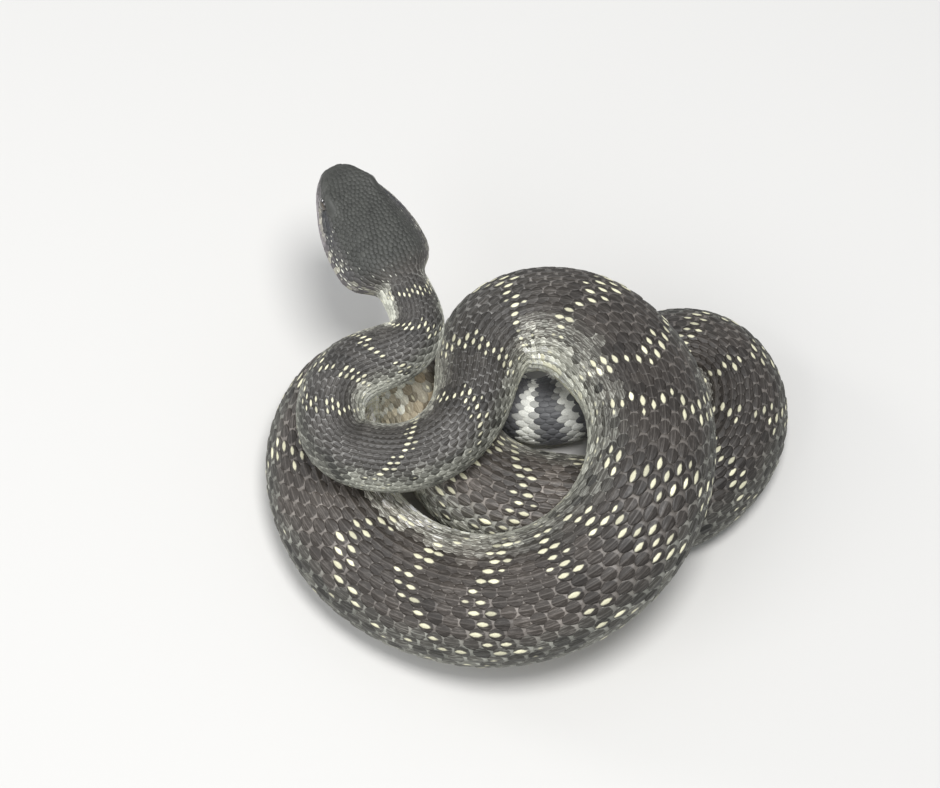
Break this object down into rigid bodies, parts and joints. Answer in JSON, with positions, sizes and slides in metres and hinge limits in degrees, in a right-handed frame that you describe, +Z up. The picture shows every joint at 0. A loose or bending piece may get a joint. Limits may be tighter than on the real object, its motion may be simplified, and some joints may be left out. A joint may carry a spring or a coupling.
{
  "type": "southern pacific rattlesnake, coiled at rest, still model",
  "caption": "Life-size still model of a coiled southern Pacific rattlesnake with its head raised, for display on a floor, shelf or plinth.",
  "frame": {"origin": "middle of the footprint, on the floor", "axes": "+X to the viewer's right in the picture and along the coil's longest extent, +Y away from the viewer, +Z up"},
  "size_m": [0.1926, 0.1706, 0.0882],
  "materials": {
    "head_scales": "dull grey-brown keeled scales, dry and satin",
    "body_scales": "dark grey-brown keeled scales with cream crossbands, dry and satin",
    "eye": "wet gloss, bronze iris with an upright slit pupil",
    "rattle": "dry horn, tan to straw"
  },
  "bodies": {
    "root": {"head": "head_scales", "eye_left": "eye", "eye_right": "eye", "neck": "body_scales", "body_01": "body_scales", "body_02": "body_scales", "body_03": "body_scales", "body_04": "body_scales", "body_05": "body_scales", "body_06": "body_scales", "body_07": "body_scales", "body_08": "body_scales", "body_09": "body_scales", "body_10": "body_scales", "body_11": "body_scales", "body_12": "body_scales", "body_13": "body_scales", "body_14": "body_scales", "tail": "body_scales", "rattle": "rattle"}
  },
  "joints": []
}
